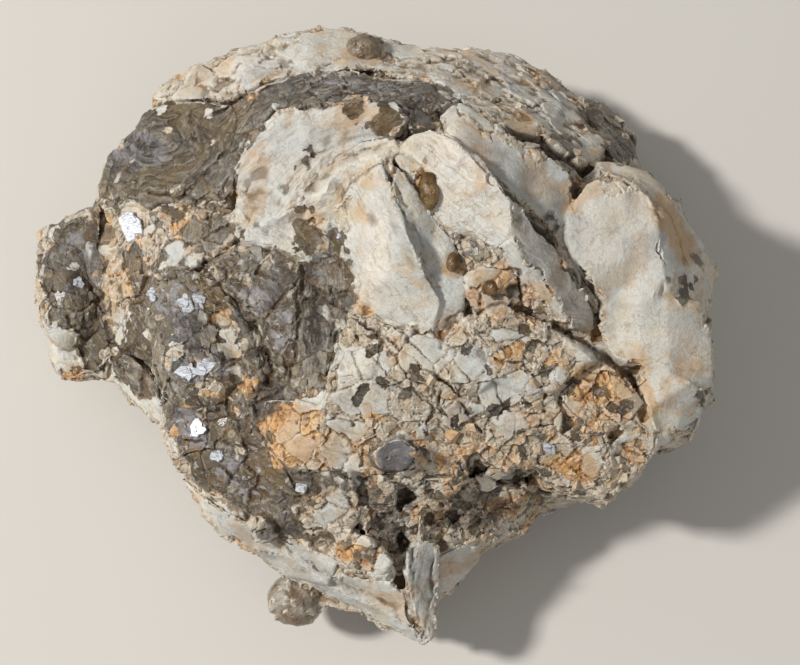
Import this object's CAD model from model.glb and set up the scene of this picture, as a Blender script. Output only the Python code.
import math

import bmesh
import bpy
import numpy as np
from mathutils import Matrix, Vector
from mathutils.bvhtree import BVHTree


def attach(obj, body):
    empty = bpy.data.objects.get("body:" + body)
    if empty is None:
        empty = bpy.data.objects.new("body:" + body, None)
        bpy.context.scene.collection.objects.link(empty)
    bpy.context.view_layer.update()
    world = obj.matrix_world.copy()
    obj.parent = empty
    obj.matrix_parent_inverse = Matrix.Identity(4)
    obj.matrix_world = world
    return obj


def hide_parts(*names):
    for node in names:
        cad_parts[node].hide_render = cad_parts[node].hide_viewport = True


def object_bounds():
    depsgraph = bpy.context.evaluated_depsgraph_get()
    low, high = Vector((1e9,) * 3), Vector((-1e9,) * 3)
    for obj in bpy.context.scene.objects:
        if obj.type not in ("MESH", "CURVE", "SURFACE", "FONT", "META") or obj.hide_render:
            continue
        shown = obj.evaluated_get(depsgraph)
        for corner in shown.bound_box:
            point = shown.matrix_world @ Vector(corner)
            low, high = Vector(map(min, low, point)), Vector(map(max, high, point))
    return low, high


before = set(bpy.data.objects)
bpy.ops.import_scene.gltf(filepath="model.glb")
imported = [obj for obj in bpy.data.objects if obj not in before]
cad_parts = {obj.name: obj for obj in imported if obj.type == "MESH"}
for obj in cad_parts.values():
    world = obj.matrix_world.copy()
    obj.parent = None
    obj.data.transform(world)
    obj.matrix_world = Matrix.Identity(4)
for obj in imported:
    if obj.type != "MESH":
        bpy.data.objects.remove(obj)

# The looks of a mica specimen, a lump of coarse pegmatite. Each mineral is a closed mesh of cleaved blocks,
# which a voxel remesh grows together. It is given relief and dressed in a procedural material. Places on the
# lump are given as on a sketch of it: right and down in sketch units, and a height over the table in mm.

CAD_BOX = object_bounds()
NODE = "mica_specimen"
MM = 0.001

# The sketch plane, and the camera that looks along its line of sight.
SKETCH_MM = 0.2325 * MM
SKETCH_SIZE = (800, 665)
SKETCH_CENTRE = (400.0, 332.5)
SIGHT_ELEVATION = math.radians(75)
EYE_DISTANCE = 360 * MM
TARGET = Vector((7, -6, 42)) * MM
SIGHT = Vector((0, math.cos(SIGHT_ELEVATION), -math.sin(SIGHT_ELEVATION)))
SKETCH_UP = Vector((0, math.sin(SIGHT_ELEVATION), math.cos(SIGHT_ELEVATION)))
EYE = TARGET - SIGHT * EYE_DISTANCE

# Cleaved blocks: the corners of the upper face, each right, down and height, then its drop and spread in mm.
FELDSPAR_BLOCKS = {
    "prow": ([(382, 162, 83.5), (398, 200, 82.5), (412, 240, 79.5), (426, 275, 74.5), (440, 300, 70.5),
        (436, 330, 65.5), (400, 325, 62.5), (362, 305, 62.5), (350, 260, 65.5), (347, 210, 69.5),
        (355, 178, 76.5)], 14, 2),
    "prow_back": ([(386, 160, 82.5), (400, 168, 81.5), (418, 195, 80), (432, 214, 77.5), (440, 235, 74.5),
        (430, 262, 71.5), (426, 275, 71.5), (412, 240, 78), (398, 200, 81.5)], 14, 1),
    "prow_foot": ([(432, 214, 77.5), (452, 238, 75.5), (462, 262, 72.5), (468, 290, 69.5), (462, 315, 66.5),
        (445, 335, 63.5), (436, 318, 66.5), (432, 285, 70.5), (427, 270, 72.5)], 14, 1),
    "long_slab": ([(403, 140, 82.5), (412, 132, 82.5), (432, 128, 82.5), (452, 136, 83), (475, 155, 83.8),
        (497, 180, 84.2), (509, 196, 83.5), (512, 235, 80.5), (500, 250, 78.5), (470, 232, 77.5),
        (450, 232, 76.5), (437, 218, 77.5), (430, 210, 78.5), (434, 180, 81.5), (420, 165, 81.5),
        (405, 155, 81.5)], 16, 1),
    "long_slab_end": ([(512, 235, 81.5), (528, 258, 78.5), (545, 280, 74.5), (560, 305, 69.5),
        (575, 328, 64.5), (555, 318, 65.5), (530, 290, 70.5), (505, 262, 75.5), (497, 250, 78.5)], 14, 1),
    "long_slab_side": ([(509, 196, 83.5), (520, 205, 81), (545, 235, 76.5), (565, 262, 72.5),
        (585, 290, 67.5), (597, 325, 60.5), (590, 340, 56.5), (575, 328, 63.5), (560, 305, 69.5),
        (545, 280, 74.5), (528, 258, 77.5), (512, 235, 80.5)], 16, 0.5),
    "back_slab": ([(440, 118, 78), (455, 105, 77), (475, 108, 77), (490, 118, 76.5), (500, 128, 76),
        (515, 140, 75.5), (535, 143, 74.5), (553, 155, 73.5), (568, 172, 72.5), (572, 200, 71),
        (572, 222, 68), (560, 236, 67.5), (545, 226, 71), (522, 204, 77), (500, 182, 80), (474, 160, 80.5),
        (450, 138, 80.5)], 14, 1),
    "round_slab": ([(583, 183, 70.5), (600, 180, 70.5), (625, 178, 70), (643, 190, 69.5), (655, 205, 68.5),
        (660, 225, 67.5), (660, 250, 66.5), (664, 275, 65.5), (655, 300, 64), (640, 305, 64),
        (610, 303, 64), (598, 295, 66), (584, 270, 69), (570, 255, 70), (562, 240, 70.5), (565, 225, 71),
        (570, 210, 71.5), (577, 195, 71.5)], 14, 1),
    "round_slab_rim": ([(595, 160, 62), (620, 163, 57), (648, 172, 50), (662, 185, 50), (680, 205, 52),
        (690, 222, 53), (704, 240, 51), (715, 262, 48), (718, 278, 46), (712, 292, 49), (700, 290, 57),
        (664, 290, 64.5), (660, 250, 66), (655, 205, 67.5), (643, 190, 68.5), (625, 178, 69),
        (608, 176, 69)], 10, 0),
    "rim_join": ([(655, 280, 64), (695, 278, 57), (715, 284, 47), (712, 300, 49.5), (704, 312, 56),
        (690, 306, 59), (658, 306, 63)], 10, 0),
    "right_block": ([(600, 300, 64), (640, 302, 64), (665, 298, 63.5), (690, 298, 61), (708, 306, 57),
        (706, 322, 57), (713, 342, 55), (714, 372, 53), (711, 390, 51), (690, 385, 55.5), (668, 375, 58),
        (645, 365, 59), (616, 357, 58.5), (604, 342, 59), (600, 320, 61)], 12, 0),
    "right_toe": ([(645, 365, 58.5), (690, 380, 57.5), (710, 398, 50.5), (703, 415, 48.5), (693, 430, 46.5),
        (672, 437, 48.5), (655, 430, 52.5), (648, 410, 55.5), (640, 390, 55.5)], 10, 0),
    "fold_low": ([(233, 168, 58.5), (246, 144, 60.5), (268, 120, 62.5), (300, 106, 65), (340, 102, 67),
        (372, 98, 68.5), (392, 100, 70), (410, 118, 73.5), (400, 132, 75), (360, 150, 72.5),
        (330, 170, 70.5), (305, 195, 67.5), (280, 215, 63.5), (255, 215, 60.5), (240, 195, 58.5)], 12, 1),
    "fold_high": ([(305, 185, 69.5), (330, 160, 72.5), (360, 145, 75.5), (392, 138, 78), (402, 150, 80.5),
        (385, 162, 81), (355, 178, 76), (345, 205, 69.5), (320, 215, 67.5), (300, 205, 66.5)], 12, 1),
    "fold_foot": ([(240, 190, 60.5), (280, 210, 63.5), (310, 205, 67.5), (345, 210, 69.5), (350, 260, 65.5),
        (330, 250, 61.5), (300, 258, 60.5), (270, 248, 61.5), (240, 243, 60.5), (232, 220, 59.5)], 10, 1),
    "rim_left": ([(150, 100, 37.5), (160, 85, 37.5), (185, 68, 37.5), (220, 52, 38.5), (260, 44, 39.5),
        (300, 30, 40.5), (340, 27, 40.5), (375, 38, 42.5), (385, 70, 48.5), (340, 70, 50.5),
        (290, 78, 50.5), (262, 82, 50.5), (230, 98, 46.5), (190, 100, 42.5)], 10, 0),
    "rim_right": ([(375, 40, 40.5), (420, 47, 37.5), (470, 48, 33.5), (513, 52, 28.5), (543, 69, 25.5),
        (560, 86, 25.5), (562, 110, 44.5), (540, 135, 60.5), (500, 125, 64.5), (480, 108, 62.5),
        (460, 98, 58.5), (440, 82, 54.5), (400, 78, 52.5), (385, 70, 48.5)], 10, 0),
    "rim_end": ([(540, 72, 28.5), (562, 87, 26.5), (590, 99, 23.5), (613, 110, 22.5), (612, 140, 38.5),
        (600, 160, 50.5), (580, 165, 57.5), (560, 150, 61.5), (545, 135, 60.5), (535, 110, 50.5)], 10, 0),
    "low_ledge": ([(250, 548, 26.5), (300, 560, 30.5), (350, 575, 33.5), (390, 580, 35.5), (405, 595, 33.5),
        (410, 620, 29.5), (425, 641, 25.5), (400, 632, 23.5), (360, 610, 24.5), (320, 590, 24.5),
        (290, 580, 23.5), (262, 560, 21.5)], 8, -1),
    "low_wall": ([(405, 548, 41.5), (425, 540, 41.5), (438, 545, 39.5), (440, 570, 33.5), (438, 600, 28.5),
        (434, 635, 26.5), (425, 641, 25.5), (415, 610, 31.5), (405, 580, 37.5)], 10, -1),
    "low_fan": ([(440, 555, 32.5), (460, 548, 31.5), (480, 545, 28.5), (478, 560, 25.5), (465, 577, 24.5),
        (450, 594, 25.5), (440, 593, 27.5)], 8, -1),
    "low_slab": ([(182, 475, 23.5), (210, 500, 27.5), (250, 525, 30.5), (300, 545, 33.5), (340, 560, 35.5),
        (330, 585, 30.5), (290, 578, 24.5), (262, 558, 21.5), (240, 545, 20.5), (213, 527, 20.5),
        (192, 498, 21.5)], 8, -1),
    "lobe_strip": ([(108, 352, 33), (125, 352, 37), (150, 372, 39), (165, 400, 37), (166, 424, 33),
        (150, 418, 29), (128, 398, 28), (112, 378, 28)], 8, -1),
    "lobe_cap": ([(44, 318, 27), (62, 322, 31), (80, 345, 29), (84, 370, 25), (70, 372, 22), (54, 352, 22),
        (45, 335, 24)], 6, -1),
}
GRANULAR_BLOCKS = {
    "pocket": ([(455, 236, 75.5), (480, 236, 76.5), (498, 250, 77), (520, 268, 74), (545, 295, 68.5),
        (556, 316, 65), (520, 306, 67.5), (480, 312, 67.5), (466, 290, 70), (462, 262, 73)], 12, 1),
    "cleft_fill": ([(398, 142, 79.5), (406, 150, 79.5), (424, 168, 79), (434, 190, 78.5), (434, 212, 77),
        (424, 204, 77.5), (412, 184, 79), (398, 166, 80), (390, 156, 80)], 8, 0),
    "seam_fill": ([(556, 206, 69), (570, 222, 69), (566, 246, 69), (584, 274, 66.5), (598, 298, 63),
        (596, 316, 60), (578, 286, 67), (556, 250, 71), (546, 222, 72)], 8, 0),
    "low_fill": ([(350, 478, 48), (400, 478, 48), (440, 486, 45), (490, 470, 46), (530, 478, 43),
        (520, 500, 37), (470, 520, 34), (430, 545, 33), (400, 575, 31), (380, 560, 35),
        (360, 520, 41)], 8, 0),
    "ledge": ([(478, 312, 68.5), (500, 305, 68.5), (520, 312, 67.5), (545, 320, 66.5), (562, 330, 65.5),
        (585, 345, 63.5), (597, 360, 61.5), (585, 365, 62.5), (570, 380, 60.5), (560, 392, 59.5),
        (540, 395, 59.5), (520, 390, 60.5), (495, 380, 62.5), (480, 360, 64.5), (455, 365, 64.5),
        (445, 345, 65.5), (455, 325, 67.5)], 12, 1),
    "rusty_arm": ([(597, 360, 60), (615, 368, 59), (632, 385, 57), (638, 400, 56), (640, 420, 54),
        (655, 430, 52), (660, 440, 49), (648, 455, 46), (640, 470, 44), (622, 480, 44), (605, 470, 47),
        (612, 440, 50), (625, 425, 52), (618, 400, 54), (600, 385, 56), (585, 380, 57)], 10, 0),
    "chin": ([(560, 432, 52.5), (590, 420, 53.5), (606, 430, 52.5), (612, 450, 50.5), (608, 475, 46.5),
        (620, 492, 42.5), (608, 500, 41.5), (590, 494, 42.5), (565, 489, 43.5), (545, 482, 45.5),
        (535, 465, 48.5), (540, 448, 50.5)], 10, 0),
    "cheek": ([(480, 385, 60.5), (520, 392, 59.5), (555, 398, 57.5), (562, 415, 55.5), (560, 432, 53.5),
        (540, 448, 51.5), (532, 468, 48.5), (510, 470, 49.5), (485, 462, 51.5), (470, 440, 54.5),
        (465, 410, 58.5)], 12, 0),
    "apron": ([(330, 385, 62.5), (360, 375, 64.5), (400, 380, 65.5), (440, 385, 63.5), (455, 395, 61.5),
        (470, 420, 57.5), (475, 445, 54.5), (465, 475, 50.5), (450, 500, 45.5), (425, 498, 46.5),
        (400, 480, 50.5), (370, 470, 52.5), (340, 470, 52.5), (320, 440, 56.5), (318, 410, 60.5)], 14, 1),
    "apron_top": ([(350, 310, 62.5), (400, 328, 63.5), (440, 338, 64.5), (480, 362, 64.5), (495, 382, 62.5),
        (470, 400, 60.5), (440, 385, 63.5), (400, 378, 65.5), (360, 372, 64.5), (330, 380, 60.5),
        (335, 340, 58.5)], 12, 1),
    "left_field": ([(98, 200, 38.5), (150, 205, 46.5), (200, 208, 52.5), (235, 215, 56.5), (240, 243, 58.5),
        (205, 262, 56.5), (175, 272, 52.5), (150, 290, 46.5), (125, 300, 40.5), (100, 290, 34.5),
        (98, 250, 33.5), (110, 225, 36.5)], 10, 0),
    "rust_lump": ([(330, 545, 37.5), (350, 530, 40.5), (375, 540, 41.5), (392, 560, 39.5), (385, 575, 37.5),
        (360, 572, 35.5), (340, 562, 35.5)], 10, 1),
    "under_chin": ([(445, 500, 43.5), (480, 490, 41.5), (520, 488, 36.5), (546, 500, 24.5),
        (530, 525, 23.5), (500, 540, 26.5), (470, 545, 30.5), (445, 540, 34.5)], 10, 0),
    "hanging_block": ([(385, 478, 46.5), (410, 482, 46.5), (440, 480, 46.5), (460, 485, 44.5),
        (455, 505, 40.5), (440, 515, 38.5), (430, 530, 34.5), (410, 525, 34.5), (402, 505, 38.5)], 10, -1),
    "recess": ([(566, 388, 57.5), (584, 372, 59), (602, 366, 59.5), (624, 380, 58), (642, 402, 56),
        (630, 424, 53.5), (604, 434, 53), (578, 424, 54.5), (562, 404, 57)], 8, 1),
    "trough_foot": ([(294, 380, 55.5), (318, 372, 57.5), (334, 384, 61), (330, 406, 60),
        (306, 410, 56)], 9, 1),
    "orange_field": ([(262, 400, 52), (290, 398, 57), (318, 405, 60), (335, 440, 57), (350, 470, 53),
        (362, 500, 47), (350, 530, 40), (330, 536, 37), (310, 520, 40), (300, 490, 46), (280, 460, 50),
        (262, 430, 50)], 10, 0),
}
MICA_BLOCKS = {
    "swirl": ([(100, 180, 38.5), (110, 155, 40.5), (125, 138, 42.5), (145, 112, 42.5), (165, 102, 44.5),
        (200, 102, 48.5), (230, 105, 52.5), (250, 95, 54.5), (268, 86, 56.5), (290, 84, 58.5),
        (292, 100, 60.5), (275, 108, 62.5), (255, 140, 60.5), (240, 160, 58.5), (236, 190, 57.5),
        (222, 204, 55.5), (205, 197, 54.5), (188, 209, 52.5), (168, 200, 50.5), (148, 208, 48.5),
        (130, 199, 45.5), (114, 208, 42.5), (98, 200, 38.5)], 12, 0),
    "band": ([(268, 86, 56.5), (300, 75, 54.5), (330, 72, 54.5), (360, 72, 54.5), (385, 80, 55.5),
        (420, 80, 54.5), (440, 85, 55.5), (458, 98, 58.5), (440, 108, 64.5), (428, 128, 70.5),
        (412, 130, 74.5), (400, 115, 70.5), (390, 102, 68.5), (350, 104, 66.5), (310, 108, 64.5),
        (280, 108, 62.5)], 14, 1),
    "wedge": ([(205, 262, 60.5), (240, 245, 62.5), (275, 250, 63.5), (300, 262, 62.5), (298, 300, 59.5),
        (290, 340, 56.5), (283, 375, 54.5), (272, 378, 52.5), (262, 350, 53.5), (258, 325, 55.5),
        (240, 300, 57.5), (222, 280, 58.5)], 10, 0.5),
    "hump": ([(205, 275, 57.5), (225, 290, 57.5), (245, 315, 55.5), (257, 345, 52.5), (264, 380, 49.5),
        (258, 410, 47.5), (250, 440, 44.5), (215, 460, 40.5), (185, 450, 37.5), (170, 430, 34.5),
        (162, 400, 35.5), (158, 370, 38.5), (150, 340, 42.5), (145, 310, 46.5), (150, 285, 50.5),
        (175, 270, 55.5)], 12, 0),
    "skirt": ([(258, 400, 50.5), (300, 400, 55.5), (318, 430, 54.5), (330, 470, 50.5), (345, 500, 45.5),
        (335, 530, 38.5), (325, 545, 34.5), (290, 538, 32.5), (260, 520, 33.5), (225, 500, 34.5),
        (195, 480, 33.5), (182, 455, 34.5), (215, 440, 42.5), (245, 430, 46.5)], 10, 0),
    "left_lobe": ([(40, 232, 30.5), (60, 222, 33.5), (88, 214, 34.5), (97, 240, 34.5), (98, 290, 33.5),
        (104, 330, 32.5), (110, 352, 29.5), (98, 374, 24.5), (76, 372, 22.5), (56, 354, 22.5),
        (48, 330, 24.5), (45, 300, 28.5), (38, 265, 30.5)], 8, -1),
    "lobe_neck": ([(98, 240, 34.5), (125, 250, 38.5), (150, 290, 44.5), (150, 340, 40.5), (158, 370, 37.5),
        (160, 400, 33.5), (140, 398, 28.5), (118, 380, 26.5), (108, 350, 28.5), (100, 320, 30.5),
        (95, 280, 32.5)], 10, 0),
    "black_plate": ([(91, 206, 37), (96, 198, 38), (99, 212, 38.5), (99, 236, 38), (96, 253, 37),
        (90, 250, 36.5), (92, 226, 37)], 6, 0.3),
    "dark_patch": ([(250, 376, 50.5), (272, 366, 52), (292, 378, 53), (302, 398, 53), (284, 412, 52.5),
        (258, 424, 49.5), (246, 402, 48.5)], 6, 1),
    "far_corner": ([(582, 97, 27.5), (605, 102, 24.5), (620, 117, 22.5), (635, 134, 26.5), (638, 158, 31.5),
        (620, 165, 41.5), (605, 150, 43.5), (590, 125, 38.5)], 8, 0),
    "trough": ([(300, 262, 59.5), (330, 250, 60.5), (352, 262, 63), (356, 305, 60.5), (335, 335, 58.5),
        (328, 380, 57.5), (300, 398, 55.5), (280, 380, 52.5), (292, 340, 55.5), (299, 300, 58.5)], 8, 1),
    "purple_book": ([(374, 452, 61), (386, 440, 62.5), (404, 439, 62.5), (416, 450, 61), (415, 464, 57.5),
        (402, 473, 55.5), (382, 468, 57.5)], 8, 1),
}
MICA_LUMPS = {
    "lobe_swell": (72, 290, 27.5, (9, 15, 9)),
    "lobe_toe": (80, 350, 18.5, (8, 8, 7)),
    "hump_swell": (205, 345, 40.5, (13, 17, 11)),
    "hump_low": (215, 430, 33.5, (12, 12, 9)),
    "dark_knob": (266, 528, 33.5, (3.6, 3.4, 3.4)),
}
FELDSPAR_LUMPS = {
    "prow_swell": (400, 290, 58.5, (10, 9, 8)),
    "slab_crown": (620, 240, 55.5, (14, 18, 13)),
}
QUARTZ_LUMPS = {
    "quartz_nodule": (296, 600, 17, (6.8, 6.2, 6.4)),
    "back_nodule": (364, 55, 42.5, (5, 5, 6)),
    "cleft_nodule": (430, 189, 79.5, (2.3, 4.6, 3.0)),
    "pocket_nodule": (492, 232, 77.5, (1.9, 1.4, 1.6)),
    "pocket_foot_nodule": (454, 262, 73.5, (1.6, 2.4, 1.8)),
    "slit_nodule": (491, 288, 71.5, (1.7, 1.5, 1.6)),
}
# Hollows between the blocks, pressed in along the line of sight: right, down, radius, and depth in mm.
HOLLOWS = [
    (404, 498, 9, 4.5), (453, 516, 9, 3), (519, 483, 7, 3), (401, 544, 8, 4), (384, 524, 9, 2),
    (432, 520, 8, 2), (512, 292, 8, 1.5), (552, 226, 9, 1.2), (318, 310, 18, 1.5),
]

# Cracks and grooves: width in sketch units, depth in mm, and the line.
CRACKS = {
    "main": (7, 2.8, [(238, 243), (213, 256), (200, 264), (225, 287), (247, 315), (262, 345), (271, 372),
        (268, 384)]),
    "main_branch": (3, 0.9, [(262, 330), (266, 316), (278, 303), (292, 288), (301, 275)]),
    "wedge_top": (3, 0.8, [(238, 243), (262, 240), (290, 238), (300, 262)]),
    "trough_left": (4, 1.0, [(300, 262), (303, 285), (301, 310), (297, 340), (288, 392)]),
    "trough_floor": (9, 1.4, [(316, 268), (316, 300), (313, 330), (322, 380)]),
    "trough_side": (4, 0.9, [(334, 262), (332, 290), (338, 312), (331, 335)]),
    "fold_seam": (4, 1.1, [(285, 193), (296, 172), (312, 156), (345, 140), (380, 134)]),
    "fold_seam_low": (3, 0.8, [(307, 192), (320, 171), (340, 156), (372, 147)]),
    "prow_seam": (4, 1.2, [(338, 204), (350, 184), (365, 172), (382, 162)]),
    "curl": (3, 1.0, [(240, 216), (241, 199), (249, 186), (262, 180), (277, 184), (285, 195)]),
    "fold_foot": (4, 1.0, [(238, 205), (252, 222), (270, 236), (292, 240), (303, 255)]),
    "ridge_groove": (3, 0.6, [(386, 168), (396, 184), (408, 208), (418, 232), (424, 262)]),
    "long_left": (3, 0.9, [(426, 200), (437, 222), (447, 232), (455, 240), (457, 252)]),
    "long_foot": (3, 0.7, [(455, 240), (470, 238), (482, 234), (492, 240), (507, 268)]),
    "cleft": (3, 0.6, [(440, 128), (466, 149), (495, 176), (520, 200), (545, 225)]),
    "long_right": (3, 0.6, [(566, 248), (582, 272), (590, 290), (597, 326), (600, 346)]),
    "round_top": (3, 0.5, [(583, 180), (601, 177), (621, 179), (641, 189), (656, 204), (662, 230)]),
    "rim_step": (3, 0.8, [(583, 162), (599, 168), (618, 172), (634, 176), (650, 184)]),
    "rim_streak": (3, 0.9, [(662, 205), (672, 220), (679, 236), (684, 252), (686, 268)]),
    "back_top": (3, 0.5, [(440, 118), (462, 108), (482, 110), (508, 130), (536, 141)]),
    "back_right": (4, 0.6, [(545, 143), (563, 160), (573, 168), (582, 181)]),
    "rim_low": (4, 1.0, [(395, 82), (425, 82), (452, 97), (478, 88), (492, 78), (520, 84)]),
    "ledge_top": (4, 1.6, [(478, 312), (500, 304), (520, 309), (561, 328), (596, 350), (625, 368),
        (641, 395)]),
    "ledge_edge": (4, 1.0, [(598, 361), (588, 370), (577, 379), (568, 388), (560, 396)]),
    "slit": (4, 2.0, [(518, 268), (520, 285), (521, 301)]),
    "long_crack": (3, 1.4, [(322, 300), (345, 310), (385, 340), (418, 362), (457, 392), (465, 408),
        (481, 432)]),
    "field_a": (3, 1.0, [(358, 335), (366, 348), (378, 362), (391, 378), (400, 386)]),
    "field_b": (4, 1.2, [(440, 347), (442, 331), (450, 319), (471, 304)]),
    "field_c": (3, 0.9, [(475, 350), (497, 360), (522, 363), (539, 386), (545, 396)]),
    "field_d": (3, 0.9, [(560, 392), (531, 402), (506, 408), (498, 420)]),
    "field_e": (3, 0.9, [(562, 400), (585, 424), (600, 432), (607, 445), (604, 461)]),
    "field_f": (3, 0.9, [(440, 395), (441, 425), (450, 440), (475, 462), (491, 470)]),
    "field_g": (3, 1.0, [(372, 474), (420, 470), (440, 478), (486, 476)]),
    "under_field": (4, 1.4, [(490, 476), (503, 484), (520, 491), (572, 491)]),
    "strip_top": (4, 1.6, [(108, 340), (124, 352), (152, 368), (159, 380), (160, 400)]),
    "lobe_crack": (5, 1.8, [(107, 348), (112, 362), (108, 374), (100, 382)]),
    "lobe_seam": (4, 1.0, [(104, 262), (98, 305), (96, 330), (84, 340), (66, 318)]),
    "eye_under": (4, 1.3, [(150, 193), (181, 197), (200, 180), (218, 160), (240, 140), (252, 128)]),
    "swirl_top": (4, 1.2, [(200, 118), (216, 112), (235, 103), (276, 86)]),
    "cheek_low": (4, 1.1, [(210, 455), (233, 480), (263, 496), (302, 497)]),
    "rust_left": (4, 1.2, [(256, 412), (262, 441), (284, 464), (296, 490)]),
    "hump_high": (3, 0.9, [(155, 286), (170, 280), (185, 278), (195, 268)]),
    "hump_low": (3, 0.9, [(186, 440), (224, 444), (254, 448)]),
    "low_ridge": (3, 0.9, [(280, 542), (305, 560), (355, 590), (381, 601), (418, 638)]),
    "low_side": (4, 1.4, [(436, 545), (430, 578), (432, 596), (424, 640)]),
    "low_slit": (4, 1.2, [(414, 548), (412, 575), (420, 625)]),
}

# Gentle swells and crests: width in sketch units, height in mm, and the line.
RIDGES = {
    "fold_high": (16, 1.3, [(240, 176), (262, 152), (300, 134), (340, 112)]),
    "fold_middle": (12, 1.9, [(290, 200), (305, 175), (330, 152), (362, 139), (395, 140)]),
    "fold_low": (10, 1.5, [(318, 200), (334, 178), (356, 162), (382, 154)]),
    "curl": (8, 1.3, [(244, 214), (244, 196), (256, 184), (274, 186), (284, 200)]),
    "fold_foot": (9, 1.0, [(262, 226), (284, 214), (306, 202)]),
    "prow": (8, 1.1, [(376, 174), (388, 196), (400, 220), (412, 246), (424, 272)]),
    "band": (8, 1.2, [(268, 96), (300, 88), (340, 84), (380, 88), (446, 98)]),
    "crack_lip": (9, 0.7, [(206, 282), (222, 296), (236, 314), (256, 356), (262, 376)]),
    "wedge_lip": (9, 0.5, [(214, 266), (236, 288), (252, 308), (264, 326)]),
    "hump": (18, 1.2, [(168, 312), (186, 330), (204, 348), (222, 350)]),
    "ledge_lip": (8, 1.0, [(488, 316), (520, 320), (548, 330), (592, 360)]),
    "plate_lip": (8, 0.6, [(604, 170), (626, 178), (646, 190), (662, 208)]),
    "low_crest": (7, 1.0, [(284, 552), (308, 568), (334, 590), (390, 612), (414, 634)]),
}

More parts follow.
